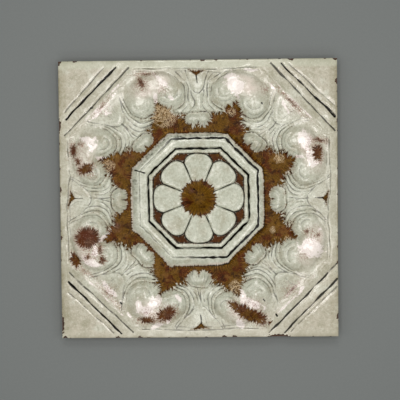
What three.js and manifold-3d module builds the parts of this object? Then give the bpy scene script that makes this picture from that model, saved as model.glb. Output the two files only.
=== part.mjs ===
// Relief-moulded square wall tile, glazed cream with brown in its hollows.
// It lies on its back: +Z is up out of the face, +Y points to the top edge of the design.
// Millimetres. The origin is the centre of the back face.

import * as THREE from 'three';
import { mergeVertices } from 'three/addons/utils/BufferGeometryUtils.js';
import Module from 'manifold-3d';

const wasm = await Module();
wasm.setup();

// Driving dimensions of the slab
const tileSide = 152.4;
const borderHeight = 11.1;
const borderWidth = 4.6;
const cornerDepth = 32.8;
const recessDepth = 2.3;
const rimWidth = 8;
const rimDrop = 0.7;

// Three lines cut across each flat corner, by distance from the edge of the sunk field
const cornerLineDistances = [3.6, 8.7, 12];
const cornerLineWidths = [0.5, 0.9, 0.4];
const cornerLineDepth = 0.5;
const cornerLineEndGap = 3;

// Driving dimensions of the octagonal frame, from the outside in; the foot is measured to a flat
const frameFoot = 37;
const frameSlopeWidth = 4;
const frameFlatWidth = 4.6;
const frameGrooveWidth = 1;
const frameInnerWidth = 2.3;
const frameGrooveDepth = 0.8;
const frameInnerDrop = 0.3;
const frameSides = 8;

// Driving dimensions of the rosette
const petalCount = 8;
const petalTipGap = 0.9;
const petalWidth = 14.4;
const petalDrop = 0.9;
const petalRounding = 1;
const bossRadius = 8.8;
const bossRise = 1.2;

// Driving dimensions of the ornament ring
const motifCount = 8;
const palmetteGap = 3;
const palmetteRise = 0.7;
const fanRise = 0.5;
const ornamentRounding = 1;
const scrollRadius = 8.4;
const scrollInset = 10.8;
const scrollRise = 1.8;
const scrollEyeRadius = 3.6;
const scrollEyeRise = 2;
const scrollDipRise = 0.4;
const headHalfLength = 15.5;
const headHalfWidth = 8.4;
const headInset = 5.2;
const headRise = 2.7;

// Keying grooves in the back; an even number leaves the centre on solid clay
const keyGrooveCount = 6;
const keyGrooveWidth = 10;
const keyGrooveDepth = 1.2;
const keyGrooveEndGap = 9;

// Facets of the round forms
const scrollFacets = 14;
const headFacets = 18;
const bossFacets = 20;
const roundingSteps = 1;

// Sizes that follow from the driving dimensions
const fieldHalf = tileSide / 2 - borderWidth;
const cornerDistance = Math.SQRT2 * tileSide / 2;
const fieldCornerEdge = cornerDistance - cornerDepth;
const floorHeight = borderHeight - recessDepth;
const rootDepth = 1.5;
const rootHeight = floorHeight - rootDepth;
const motifFoot = frameFoot + palmetteGap;
const motifHeight = fieldHalf - motifFoot;
const frameShoulder = frameFoot - frameSlopeWidth;
const frameGrooveOuter = frameShoulder - frameFlatWidth;
const frameGrooveInner = frameGrooveOuter - frameGrooveWidth;
const frameInner = frameGrooveInner - frameInnerWidth;
const petalTipRadius = frameInner - petalTipGap;
const scrollCentreRadius = fieldHalf - scrollInset;
const headRadius = fieldHalf - headInset;
const keyGroovePitch = (tileSide - 2 * keyGrooveEndGap - keyGrooveWidth) / (keyGrooveCount - 1);
const turn = 2 * Math.PI;

// Small bites broken out of the top edges, seen from above.
// Each has its side, its place as a share of half that side, its length and its depth.
const chips = [
  { side: 'top', along: -0.878, length: 2.6, depth: 0.9 },
  { side: 'top', along: 0.041, length: 2.8, depth: 0.9 },
  { side: 'top', along: 0.669, length: 3, depth: 1 },
  { side: 'right', along: 0.837, length: 3.2, depth: 1.1 },
  { side: 'right', along: -0.852, length: 3, depth: 1 },
  { side: 'left', along: 0.541, length: 6.6, depth: 1.1 },
  { side: 'left', along: 0.081, length: 2.8, depth: 1 },
  { side: 'left', along: -0.27, length: 2.4, depth: 0.9 },
  { side: 'left', along: -0.895, length: 9.8, depth: 1.3 },
  { side: 'bottom', along: -0.594, length: 2.6, depth: 0.9 },
  { side: 'bottom', along: -0.433, length: 2.6, depth: 0.9 },
  { side: 'bottom', along: 0.176, length: 3, depth: 1 },
  { side: 'bottom', along: 0.251, length: 2.6, depth: 1 },
  { side: 'bottom', along: 0.567, length: 12.3, depth: 1.5 },
];
const chipSideTurns = { right: 0, top: 1, left: 2, bottom: 3 };
const chipHeightShare = 1.3;

// A closed geometry as a solid that can be joined and cut
function solid(geometry) {
  const plain = geometry.clone();
  plain.deleteAttribute('normal');
  plain.deleteAttribute('uv');
  const merged = mergeVertices(plain, 1e-4);
  return new wasm.Manifold(new wasm.Mesh({
    numProp: 3,
    vertProperties: new Float32Array(merged.attributes.position.array),
    triVerts: new Uint32Array(merged.index.array),
  }));
}

// A solid back as a geometry with flat facets
function geometryOf(body) {
  const mesh = body.getMesh();
  const geometry = new THREE.BufferGeometry();
  geometry.setAttribute('position', new THREE.BufferAttribute(mesh.vertProperties, 3));
  geometry.setIndex(new THREE.BufferAttribute(mesh.triVerts, 1));
  geometry.computeVertexNormals();
  return geometry;
}

function joinAll(solids) {
  return solids.reduce((sum, next) => sum.add(next));
}

// A point at a polar angle in the plane of the face
function polar(radius, angle) {
  return new THREE.Vector2(radius * Math.cos(angle), radius * Math.sin(angle));
}

// A turned solid standing on Z, from [radius, height] pairs that start and end on the axis
function turned(pairs, facets, startAngle = 0) {
  const profile = pairs.map(([radius, height]) => new THREE.Vector2(radius, height));
  const geometry = new THREE.LatheGeometry(profile, facets, startAngle);
  geometry.rotateX(Math.PI / 2);
  return geometry;
}

// A flat outline raised to a height, with its upper edge rounded off
function raised(outline, bottom, top, rounding) {
  const geometry = new THREE.ExtrudeGeometry(new THREE.Shape(outline), {
    depth: top - bottom - 2 * rounding,
    bevelThickness: rounding,
    bevelSize: rounding,
    bevelOffset: -rounding,
    bevelSegments: roundingSteps,
    curveSegments: 8,
  });
  geometry.translate(0, 0, bottom + rounding);
  return geometry;
}

// A half outline, listed from its foot to its top, completed by its mirror image
function mirrored(half) {
  const left = half.filter((point) => point.x > 0).map((point) => new THREE.Vector2(-point.x, point.y));
  return [...half, ...left.reverse()];
}

// A smooth half outline through a few points
function smoothHalf(points, divisions) {
  return new THREE.SplineCurve(points).getPoints(divisions);
}

// The octagon of the sunk field, wider across its corners than a regular one
function fieldOutline() {
  const reach = Math.SQRT2 * fieldCornerEdge - fieldHalf;
  const side = [new THREE.Vector2(fieldHalf, -reach), new THREE.Vector2(fieldHalf, reach)];
  const outline = [];
  for (let quarter = 0; quarter < 4; quarter += 1) {
    const angle = quarter * turn / 4;
    side.forEach((point) => outline.push(point.clone().rotateAround(new THREE.Vector2(), angle)));
  }
  return outline;
}

function slab() {
  const block = new THREE.BoxGeometry(tileSide, tileSide, borderHeight);
  block.translate(0, 0, borderHeight / 2);
  const pocket = new THREE.ExtrudeGeometry(new THREE.Shape(fieldOutline()), {
    depth: 2 * recessDepth,
    bevelEnabled: false,
  });
  pocket.translate(0, 0, floorHeight);
  return solid(block).subtract(solid(pocket));
}

// A line across one corner, as long as the corner allows, less a gap at each end
function cornerLine(distance, width, angle) {
  const halfLength = cornerDepth - distance - Math.SQRT2 * cornerLineEndGap;
  const bar = new THREE.BoxGeometry(width, 2 * halfLength, 2 * cornerLineDepth);
  bar.translate(fieldCornerEdge + distance, 0, borderHeight);
  bar.rotateZ(angle);
  return solid(bar);
}

function cornerLines() {
  const lines = [];
  for (let corner = 0; corner < 4; corner += 1) {
    const angle = (corner + 0.5) * turn / 4;
    cornerLineDistances.forEach((distance, index) => {
      lines.push(cornerLine(distance, cornerLineWidths[index], angle));
    });
  }
  return joinAll(lines);
}

// The ground that fills the outer part of the field, behind the heads of the scrolls
function rim() {
  const outline = new THREE.Shape(fieldOutline());
  outline.holes.push(new THREE.Path().absarc(0, 0, fieldHalf - rimWidth, 0, turn));
  const ring = new THREE.ExtrudeGeometry(outline, {
    depth: rootDepth + recessDepth - rimDrop,
    bevelEnabled: false,
  });
  return solid(ring.translate(0, 0, rootHeight));
}

// The octagonal frame: an outer slope, a broad flat, a groove and a narrow inner flat
function frame() {
  const across = 1 / Math.cos(Math.PI / frameSides);
  const innerTop = borderHeight - frameInnerDrop;
  const ring = [
    [frameInner, rootHeight],
    [frameFoot, rootHeight],
    [frameFoot, floorHeight],
    [frameShoulder, borderHeight],
    [frameGrooveOuter, borderHeight],
    [frameGrooveOuter, borderHeight - frameGrooveDepth],
    [frameGrooveInner, borderHeight - frameGrooveDepth],
    [frameGrooveInner, innerTop],
    [frameInner, innerTop],
    [frameInner, rootHeight],
  ];
  const pairs = ring.map(([apothem, height]) => [apothem * across, height]);
  return solid(turned(pairs, frameSides, Math.PI / frameSides));
}

// One petal of the rosette, broad near its tip
function petal() {
  const halfWidth = petalWidth / 2;
  const broadest = petalTipRadius - 0.65 * halfWidth;
  const half = smoothHalf([
    new THREE.Vector2(0, bossRadius / 2),
    new THREE.Vector2(0.45 * halfWidth, bossRadius),
    new THREE.Vector2(halfWidth, broadest),
    new THREE.Vector2(0.62 * halfWidth, petalTipRadius - 0.15 * halfWidth),
    new THREE.Vector2(0, petalTipRadius),
  ], 9);
  return raised(mirrored(half), rootHeight, borderHeight - petalDrop, petalRounding);
}

function boss() {
  const crown = borderHeight + bossRise;
  return solid(turned([
    [0, rootHeight],
    [bossRadius, rootHeight],
    [bossRadius, borderHeight - petalDrop],
    [0.88 * bossRadius, borderHeight],
    [0.6 * bossRadius, crown - 0.3 * bossRise],
    [0.3 * bossRadius, crown - 0.06 * bossRise],
    [0, crown],
  ], bossFacets));
}

// A point of the carved motif, in hundredths of its height: across, and outward from its foot
function carved(across, outward) {
  const share = motifHeight / 100;
  return new THREE.Vector2(across * share, motifFoot + outward * share);
}

// The palmette: two round lobes under a small cap
function palmette() {
  const half = smoothHalf([
    carved(0, 3),
    carved(9, 0),
    carved(18, 5),
    carved(20, 14),
    carved(14, 24),
    carved(6, 30),
    carved(0, 31),
  ], 13);
  return raised(mirrored(half), rootHeight, borderHeight + palmetteRise, ornamentRounding);
}

// The reeded fan behind the palmette: leaf tips at its foot, a waist, and a spread at the border
function fan() {
  const half = smoothHalf([
    carved(0, 24),
    carved(18, 23),
    carved(30, 20),
    carved(41, 24),
    carved(36, 35),
    carved(25, 47),
    carved(23, 62),
    carved(26, 76),
    carved(33, 97),
  ], 15);
  return raised(mirrored(half), rootHeight, borderHeight + fanRise, ornamentRounding);
}

// One scroll: a round roll with a dip around its eye
function scroll() {
  return turned([
    [0, rootHeight],
    [scrollRadius, rootHeight],
    [scrollRadius, floorHeight],
    [0.94 * scrollRadius, borderHeight],
    [0.75 * scrollRadius, borderHeight + scrollRise],
    [1.25 * scrollEyeRadius, borderHeight + scrollDipRise],
    [scrollEyeRadius, borderHeight + scrollDipRise],
    [0.6 * scrollEyeRadius, borderHeight + 0.85 * scrollEyeRise],
    [0, borderHeight + scrollEyeRise],
  ], scrollFacets);
}

// The head where two neighbouring scrolls meet, the highest swelling of the ring
function head() {
  const geometry = turned([
    [0, rootHeight],
    [1, rootHeight],
    [1, floorHeight],
    [0.93, borderHeight + 0.3 * headRise],
    [0.7, borderHeight + 0.72 * headRise],
    [0.38, borderHeight + 0.94 * headRise],
    [0, borderHeight + headRise],
  ], headFacets);
  geometry.scale(headHalfLength, headHalfWidth, 1);
  return geometry;
}

// Copies of one geometry around the centre, the first at a starting angle
function ringOf(geometry, count, startAngle) {
  const copies = [];
  for (let index = 0; index < count; index += 1) {
    copies.push(solid(geometry.clone().rotateZ(startAngle + index * turn / count)));
  }
  return joinAll(copies);
}

function scrolls() {
  const fromGap = Math.asin(scrollRadius / scrollCentreRadius);
  const copies = [-1, 1].map((hand) => {
    const place = polar(scrollCentreRadius, turn / 4 + hand * (turn / 2 / motifCount - fromGap));
    return ringOf(scroll().translate(place.x, place.y, 0), motifCount, 0);
  });
  return joinAll(copies);
}

function heads() {
  return ringOf(head().translate(0, headRadius, 0), motifCount, Math.PI / motifCount);
}

// One bite out of a top edge
function chip({ side, along, length, depth }) {
  const bite = new THREE.IcosahedronGeometry(1, 1);
  bite.scale(depth, length / 2, chipHeightShare * depth);
  const quarter = chipSideTurns[side];
  const forward = quarter === 0 || quarter === 3 ? 1 : -1;
  bite.translate(tileSide / 2, forward * along * tileSide / 2, borderHeight);
  bite.rotateZ(quarter * turn / 4);
  return solid(bite);
}

function keyGrooves() {
  const grooves = [];
  for (let index = 0; index < keyGrooveCount; index += 1) {
    const length = tileSide - 2 * keyGrooveEndGap;
    const groove = new THREE.BoxGeometry(length, keyGrooveWidth, 2 * keyGrooveDepth);
    groove.translate(0, (index - (keyGrooveCount - 1) / 2) * keyGroovePitch, 0);
    grooves.push(solid(groove));
  }
  return joinAll(grooves);
}

function tile() {
  const ornament = joinAll([
    rim(),
    ringOf(palmette(), motifCount, 0),
    ringOf(fan(), motifCount, 0),
    scrolls(),
    heads(),
    frame(),
    ringOf(petal(), petalCount, 0),
    boss(),
  ]);
  return slab()
    .add(ornament)
    .subtract(cornerLines())
    .subtract(keyGrooves())
    .subtract(joinAll(chips.map(chip)));
}

const glazedClay = new THREE.MeshStandardMaterial({ color: 0xcdcbbc, roughness: 0.18, metalness: 0 });
const reliefTile = new THREE.Mesh(geometryOf(tile()), glazedClay);
reliefTile.name = 'relief_tile';

const model = new THREE.Group();
model.add(reliefTile);

export default model;
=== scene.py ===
"""Relief-moulded wall tile in cream glaze, lying on its back on pale paper."""
import math
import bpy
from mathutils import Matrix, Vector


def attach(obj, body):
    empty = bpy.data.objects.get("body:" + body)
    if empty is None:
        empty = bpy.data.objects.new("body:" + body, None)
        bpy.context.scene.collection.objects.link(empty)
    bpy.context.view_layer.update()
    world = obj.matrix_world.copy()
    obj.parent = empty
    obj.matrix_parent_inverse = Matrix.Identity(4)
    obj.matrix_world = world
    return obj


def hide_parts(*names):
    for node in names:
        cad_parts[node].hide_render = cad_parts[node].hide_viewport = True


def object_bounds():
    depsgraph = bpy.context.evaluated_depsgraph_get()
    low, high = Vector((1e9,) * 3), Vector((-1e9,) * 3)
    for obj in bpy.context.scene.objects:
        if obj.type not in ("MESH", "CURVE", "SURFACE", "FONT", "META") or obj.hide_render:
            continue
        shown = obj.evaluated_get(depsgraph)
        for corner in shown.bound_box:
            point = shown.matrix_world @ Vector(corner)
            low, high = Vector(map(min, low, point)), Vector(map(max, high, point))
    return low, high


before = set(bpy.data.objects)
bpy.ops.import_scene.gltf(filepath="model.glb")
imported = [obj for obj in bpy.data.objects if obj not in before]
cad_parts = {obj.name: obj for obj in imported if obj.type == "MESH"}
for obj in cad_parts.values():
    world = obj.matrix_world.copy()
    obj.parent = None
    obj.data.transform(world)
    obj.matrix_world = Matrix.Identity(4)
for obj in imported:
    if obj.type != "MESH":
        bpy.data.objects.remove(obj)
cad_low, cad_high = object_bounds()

from types import SimpleNamespace

import bpy
import numpy as np
from mathutils import Matrix, Vector

# Lengths inside the carving are millimetres, with heights measured from the flat border.
MM = 0.001
SIDE = (cad_high.x - cad_low.x) / MM
HALF = SIDE / 2
CROWN_RISE = 2.7
BORDER = (cad_high.z - cad_low.z) / MM - CROWN_RISE
FLOOR = -2.3
TURN = 2 * math.pi
# From the middle of a motif to the middle of the gap beside it
GAP_ANGLE = TURN / 16
# A distance that stands for nothing near
FAR = 9.0

# The sunk field and its corners
FIELD_EDGE = HALF - 4.6
CORNER_EDGE = math.sqrt(2) * HALF - 32.8
RIM_LEVEL = -0.7
RIM_WIDTH = 8.5
RIM_SLIT = [(0, 68.2), (0, 64.4)]
CORNER_RIDGE = 0.4
# Lines across the corners: both ends, half widths at the start, the middle and the end, and darkness
CORNER_LINES = [
    ((-44.8, 72.3), (-72.2, 44.7), (0.5, 0.42, 0.3), 1.0),
    ((-37.3, 72.1), (-72.9, 35.6), (0.3, 0.14, 0.16), 0.8),
    ((-51.2, 72.6), (-72.9, 48.4), (0.15, 0.18, 0.15), 0.6),
    ((45.6, 73.5), (74.8, 44.7), (0.36, 0.2, 0.6), 1.0),
    ((40.1, 73.5), (74.8, 37.0), (0.4, 0.14, 0.32), 0.85),
    ((50.1, 73.5), (74.5, 50.2), (0.15, 0.16, 0.16), 0.6),
    ((-71.9, -45.0), (-43.5, -73.8), (0.6, 0.32, 0.3), 1.0),
    ((-71.4, -40.0), (-36.7, -72.9), (0.3, 0.2, 0.2), 0.8),
    ((-72.3, -50.5), (-47.6, -73.3), (0.16, 0.16, 0.15), 0.6),
    ((75.6, -35.9), (38.2, -73.8), (0.34, 0.26, 0.34), 0.95),
    ((75.6, -44.5), (46.4, -73.8), (0.36, 0.26, 0.36), 0.95),
    ((75.2, -48.6), (50.0, -73.3), (0.15, 0.16, 0.15), 0.6),
]

# The octagonal frame, by distance from the centre to a flat; its slanted sides lie a little further out
FRAME_FOOT = 37.0
FRAME_SLANT = 1.03
FRAME_INNER = 24.7
FRAME_GROOVE = 27.4
FRAME_LINE = 32.3
FRAME_OFF_CENTRE = 0.55
ROSETTE_FLOOR = -2.0
FRAME_PROFILE = [
    (0.0, ROSETTE_FLOOR), (24.5, ROSETTE_FLOOR), (24.9, -0.6), (25.3, -0.32), (25.9, -0.24), (26.5, -0.34),
    (26.9, -0.75), (FRAME_GROOVE, -1.1), (27.9, -0.75), (28.4, -0.12), (29.2, 0.0), (31.3, 0.0),
    (31.9, -0.12), (FRAME_LINE, -0.3), (32.7, -0.12), (33.6, -0.2), (35.2, -0.75), (36.2, -1.5),
    (FRAME_FOOT, FLOOR), (60.0, FLOOR),
]
# How far the brown creeps up the frame's outside, at its eight sides clockwise from the top
BROWN_CREEP = [0.8, 1.9, 0.7, 1.9, 0.0, 0.2, -0.4, 0.6]

# The rosette
BOSS_RADIUS = 8.8
BOSS_RISE = 1.2
PETAL_LEVEL = -0.9
PETAL_CENTRE = 18.0
PETAL_HALF_WIDTH = 8.0
PETAL_TIP = 6.9
PETAL_SQUARENESS = 2.5
PETAL_SPREAD = 0.42
PETAL_BULGE = 0.1
PETAL_LINE_TONE = 0.93
BOSS_STAIN = 9.9

# The motif: its levels, the reeds between its lines, and the outlines of one half of it,
# across from its middle and outward from the tile's centre
PALMETTE_LEVEL = 0.75
FAN_LEVEL = 0.15
FAN_RIDGE = 0.3
FAN_FALL = 0.09
ORNAMENT_LEVEL = -0.4
REED_DEPTH = 0.3
REED_WIDTH = 0.8
PALMETTE = [(0, 40.7), (1.0, 39.7), (3.0, 39.4), (5.4, 40.6), (6.9, 42.8), (6.6, 45.4), (4.4, 47.3),
            (1.8, 47.8), (0, 47.6)]
FAN = [(0, 47.0), (3.5, 47.4), (5.4, 46.6), (6.6, 46.2), (8.1, 47.1), (9.8, 46.2), (11.3, 47.0),
       (12.8, 46.6), (13.7, 48.2), (12.4, 50.2), (9.0, 52.7), (7.6, 55.4), (7.2, 59.3), (8.2, 63.2),
       (11.0, 67.0), (14.4, 71.7), (0, 71.7)]
# Lines drawn on the motif: points, half width and darkness
LOBE_LINES = [
    ([(6.8, 45.0), (5.2, 47.0), (2.6, 48.0), (0, 47.9)], 0.14, 0.6),
    ([(0, 40.4), (0.1, 41.4), (0.3, 42.2)], 0.1, 0.55),
    ([(5.4, 41.0), (5.0, 43.2), (3.6, 45.4)], 0.1, 0.4),
    ([(3.2, 39.6), (3.4, 42.0), (2.4, 44.8)], 0.1, 0.4),
]
NARROW_LINES = [
    ([(6.4, 70.6), (5.3, 67.0), (4.4, 63.5), (3.3, 61.2), (1.6, 59.5), (0, 59.0)], 0.15, 0.68),
    ([(12.5, 69.6), (8.0, 66.2), (5.4, 61.0), (5.5, 55.6), (5.9, 51.8), (8.4, 48.6)], 0.15, 0.68),
    ([(16.4, 69.0), (11.8, 66.4), (8.2, 62.4), (7.2, 58.0), (7.9, 53.5), (10.5, 50.4), (13.0, 49.0)],
     0.15, 0.62),
    ([(3.7, 60.2), (2.8, 56.0), (2.3, 53.6), (2.8, 51.0), (4.8, 47.6)], 0.15, 0.68),
    ([(9.6, 70.4), (7.6, 68.2), (6.2, 64.8)], 0.1, 0.45),
]
WIDE_LINES = [
    ([(12.0, 70.8), (8.8, 67.0), (5.6, 63.2), (2.4, 60.3), (0, 59.4)], 0.11, 0.6),
    ([(8.4, 66.0), (6.3, 60.8), (6.4, 54.5), (9.0, 50.5), (13.6, 48.4)], 0.14, 0.62),
    ([(5.2, 62.4), (4.2, 59.9), (4.2, 54.1), (6.5, 49.8), (11.7, 47.0)], 0.13, 0.62),
    ([(13.5, 70.8), (10.8, 66.8), (8.7, 63.2), (8.0, 59.3), (8.6, 55.4), (11.0, 52.2), (15.0, 50.2)],
     0.12, 0.5),
    ([(0, 60.1), (0.3, 54.5), (1.2, 48.6)], 0.14, 0.65),
    ([(2.0, 57.0), (2.2, 53.0), (4.6, 49.2), (7.2, 47.6)], 0.12, 0.52),
    ([(3.6, 69.4), (2.2, 66.6), (1.8, 63.6)], 0.1, 0.33),
]

# The scrolls and the head where two of them meet
SCROLL_RADIUS = 8.4
SCROLL_FROM_CENTRE = FIELD_EDGE - 10.8
SCROLL_PROFILE = [
    (0.0, 2.0), (1.5, 1.95), (3.0, 1.75), (4.2, 1.5), (5.4, 1.25), (6.4, 0.8), (7.2, 0.2),
    (SCROLL_RADIUS, -0.9), (SCROLL_RADIUS + 1.0, FLOOR), (99.0, FLOOR),
]
# Radius, depth and line darkness of each roll
ROLLS = [(3.9, 0.3, 0.4), (6.1, 0.25, 0.3)]
ROLL_WIDTH = 0.6
ROLL_LINE_HALF = 0.08
HEAD_FROM_CENTRE = FIELD_EDGE - 5.2
HEAD_HALF = (15.5, 8.4)
HEAD_APEX_INWARD = 5.0
HEAD_BEND_RADIUS = 52.0

# Bites out of the top edges: side, share of half the side from its middle, length and depth
CHIPS = [
    ("top", -0.878, 2.6, 0.9), ("top", 0.041, 2.8, 0.9), ("top", 0.669, 3.0, 1.0),
    ("top", -0.99, 2.4, 1.3), ("top", 0.985, 2.6, 1.2),
    ("right", 0.837, 3.2, 1.1), ("right", -0.852, 3.0, 1.0), ("right", -0.35, 1.6, 0.6),
    ("left", 0.541, 6.6, 1.1), ("left", 0.081, 2.8, 1.0), ("left", -0.27, 2.4, 0.9),
    ("left", -0.895, 9.8, 1.3), ("left", 0.98, 2.2, 1.0),
    ("bottom", -0.594, 2.6, 0.9), ("bottom", -0.433, 2.6, 0.9), ("bottom", 0.176, 3.0, 1.0),
    ("bottom", 0.251, 2.6, 1.0), ("bottom", 0.567, 12.3, 1.5), ("bottom", -0.975, 2.6, 1.3),
]
CHIP_HEIGHT_SHARE = 1.3
NICK_COUNT = 46
ARRIS_RADIUS = 0.7

# Where the glaze has worn or pulled off the high parts: place, half sizes, turn in degrees and redness
WORN_PATCHES = [
    (65.0, 24.6, 2.4, 4.4, 5, 0.4), (66.3, 31.6, 3.4, 1.0, -8, 0.9),
    (-61.2, -20.5, 6.4, 5.8, 10, 0.8), (-54.2, -27.0, 0.9, 2.6, 10, 0.8),
    (-53.0, -32.8, 2.0, 1.8, 60, 0.7), (-61.0, -31.0, 1.8, 1.0, 40, 0.5),
    (-48.3, -17.1, 1.2, 1.0, 0, 0.9), (-68.0, -33.0, 2.4, 3.6, 25, 0.1),
    (-61.4, 17.2, 4.2, 2.5, 25, 0.4), (-68.3, 27.4, 1.5, 3.4, 10, 0.7),
    (-65.8, 21.2, 1.3, 2.0, 20, 0.7), (-64.0, 30.5, 1.2, 0.8, 0, 0.9),
    (-30.5, 63.5, 1.4, 2.8, 30, 0.8), (-28.5, 68.6, 2.4, 0.5, 0, 0.9),
    (-18.2, -62.8, 5.8, 3.4, 28, 0.6), (-28.8, -66.2, 4.4, 1.7, 5, 0.5),
    (19.4, -58.8, 3.4, 2.0, -32, 0.3), (27.6, -63.4, 10.4, 3.6, -26, 0.25),
    (65.0, -20.0, 1.0, 0.8, 0, 0.9), (59.0, -18.0, 0.9, 1.0, 0, 0.9),
    (51.2, 52.4, 4.0, 0.6, -45, 0.9), (50.9, -50.1, 2.6, 0.6, 45, 0.9),
    (-51.0, -50.8, 2.8, 0.6, -45, 0.9), (-52.4, 51.4, 1.6, 0.35, 45, 0.9),
    (-45.5, -57.5, 0.9, 0.3, -45, 0.2), (-62.5, -39.5, 1.6, 0.4, -30, 0.8),
]
# Where the worn glaze is flushed with a reddish down: place and size
FLUSHED_PLACES = [
    (-30.0, 62.0, 5.0), (-19.0, 60.0, 4.0), (-66.5, 24.0, 5.0), (-58.0, 14.0, 3.0), (-59.0, -27.0, 8.0),
    (-47.0, -20.0, 4.0), (62.5, 27.0, 6.0), (49.0, 16.0, 4.0), (62.0, -20.0, 5.0), (57.0, -31.0, 3.5),
    (27.0, -61.0, 8.0), (-20.0, -62.0, 6.0), (-28.0, -63.0, 4.0), (52.0, 50.0, 4.0), (-51.0, 50.0, 4.0),
    (50.0, -50.0, 4.0), (-50.0, -50.0, 4.0), (37.0, 60.0, 3.0),
]
# Places pressed almost flat on the heads: place, size, and rise across and up
FACETS = [
    (19.8, 62.2, 6.5, -0.047, 0.042), (62.0, -26.6, 4.8, 0.047, 0.008), (57.6, 31.9, 5.0, 0.038, -0.026),
    (-24.7, -56.6, 4.5, 0.018, -0.059), (-57.9, 30.0, 4.5, -0.056, -0.03),
    (23.5, -53.8, 4.0, -0.039, -0.053),
    (-33.2, -57.9, 3.0, -0.001, -0.062), (-20.2, 65.2, 3.5, 0.028, 0.049),
    (-58.0, -33.6, 4.0, -0.056, -0.006),
]
# Painted highlights, whitish patches where the heads and ridges catch the light: place, half sizes and turn
# in degrees
PAINTED_HIGHLIGHT_PLACES = [
    (19.8, 62.2, 6.6, 4.2, 118), (61.0, -27.2, 7.6, 4.8, 160), (57.6, 31.9, 4.8, 3.4, 98),
    (-24.7, -56.6, 4.2, 3.0, 48), (-57.9, 30.0, 4.4, 2.4, 62), (23.5, -53.8, 5.2, 2.2, 107),
    (-33.2, -57.9, 4.0, 1.6, 91), (-49.6, -49.3, 7.4, 0.9, 134), (-20.2, 65.2, 4.8, 1.6, 136),
    (-52.6, 22.7, 3.7, 1.1, 168), (-60.9, 33.5, 3.3, 1.4, 174), (47.3, 51.1, 4.5, 1.1, 120),
    (-23.2, -69.4, 3.4, 1.5, 25), (-22.9, 55.1, 2.8, 1.1, 87), (-39.9, -62.3, 3.1, 0.8, 128),
    (29.5, -57.6, 6.5, 2.0, -26), (-17.1, -66.6, 2.2, 1.3, 75), (-27.8, -58.6, 4.6, 2.2, 60),
    (-61.0, -33.6, 3.6, 1.7, 141), (55.4, -51.0, 3.2, 0.7, 58), (-11.6, -54.0, 2.7, 1.2, 127),
    (-47.1, 56.0, 5.4, 0.5, 48), (-51.8, -20.6, 5.0, 1.2, 30), (-56.8, -27.6, 1.3, 4.6, 10),
    (-57.6, -35.0, 4.4, 1.7, -15), (60.6, 24.5, 2.0, 6.4, 10), (63.5, 18.8, 3.2, 1.2, 0),
    (29.5, 70.3, 4.0, 0.6, -8), (55.0, 22.9, 2.2, 0.8, 177), (40.5, 61.5, 3.4, 0.8, 127),
    (21.8, -68.6, 3.4, 1.8, -50), (-14.2, 55.3, 1.8, 0.9, 143), (-55.4, 47.4, 5.0, 0.45, 45),
    (-49.0, 47.5, 2.0, 0.8, 20), (50.5, -50.5, 4.0, 0.8, 48), (66.0, -17.0, 2.1, 0.8, 20),
]
# Darker spots in the brown: place and size
DARK_SPOTS = [(-3.5, 5.0, 1.5), (-36.7, 23.3, 1.3), (-45.0, -15.0, 2.4), (24.0, 40.0, 1.5),
              (-28.0, -41.0, 1.5)]
# Short black strokes across the face
TICKS = [[(-34.8, 16.3), (-29.2, 14.6)], [(-58.6, 50.4), (-57.6, 50.7)], [(-43.6, -56.6), (-42.9, -57.3)],
         [(35.0, -55.0), (35.8, -56.1)], [(41.9, -63.6), (42.6, -64.6)], [(34.9, 52.1), (35.2, 51.7)],
         [(-2.6, 5.7), (-2.1, 5.3)]]
TICK_HALF_WIDTH = 0.3
# Where pale veins run through the brown
VEINED_PLACES = [(-18.3, 46.5, 7.5), (-49.5, 18.8, 3.6), (18.6, 47.5, 2.6), (44.5, 21.5, 3.0),
                 (20.0, -48.5, 4.0), (40.8, -17.5, 2.0), (49.0, -23.0, 2.5)]

# The glaze ends at this height above the table
GLAZED_TO = 7.9

# The back with its keying grooves
KEY_COUNT = 6
KEY_WIDTH = 10.0
KEY_DEPTH = 1.2
KEY_END_GAP = 9.0

# Mesh fineness, and how much a wrong height, line or brown edge counts
GRID = 1025
BACK_GRID = 129
FACE_TRIANGLES = 175000
BACK_TRIANGLES = 9000
FINEST_TOLERANCE = 0.012
TOLERANCE_STEP = 1.15
HEIGHT_WEIGHT, LINE_WEIGHT, EDGE_WEIGHT = 0.7, 0.3, 0.14
CREASE_ANGLE = math.radians(50)
PATTERN_STEP = 0.12
PATTERN_MARGIN = 1.2
PATTERN_REACH = (34.0, 112.0)
FACE_SEED = 11
BACK_SEED = 5

# What each point of the face tells the glaze: distances to the brown's edge and to a line,
# how dark, red, veined, bare or frayed the glaze is there, where light and shade are painted, and where its
# hairs start
MASKS = ("edge", "gap", "tone", "tint", "veins", "bare", "fray", "bevel", "flush", "crown", "thin",
         "root_x", "root_y")
HIDDEN_MASKS = {"edge": 5.0, "gap": 3.0}

# Where the painted light and shade on the outer border start and are full, in metres from the centre
BORDER_FROM = 0.0708
BORDER_FULL = 0.0728

# Camera in millimetres, roll in radians
CAMERA_LENS = 72.14
CAMERA_PLACE = (8.1, 13.0, 450.0)
CAMERA_AIM = (0.79, -0.42, BORDER)
CAMERA_ROLL = math.radians(-0.6)

# Floor and lights in metres: name, direction from the centre, and power
FLOOR_REACH = 1.5
FLOOR_GAP = 0.0001
LIGHT_HEIGHT = 0.47
WINDOW_OUT = 0.225
WINDOW_COLOUR = (1.0, 0.975, 0.95)
WINDOWS = [("north_window", 0, 1, 0.42), ("east_window", 1, 0, 0.25), ("south_window", 0, -1, 0.2),
           ("west_window", -1, 0, 0.19)]
LAMP_OUT = 0.075
LAMP_COLOUR = (1.0, 0.95, 0.93)
LAMP_POWER = 0.17
LAMPS = [("north_east_lamp", 1, 1), ("south_east_lamp", 1, -1), ("south_west_lamp", -1, -1),
         ("north_west_lamp", -1, 1)]


# Small helpers for curves and distances

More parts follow.
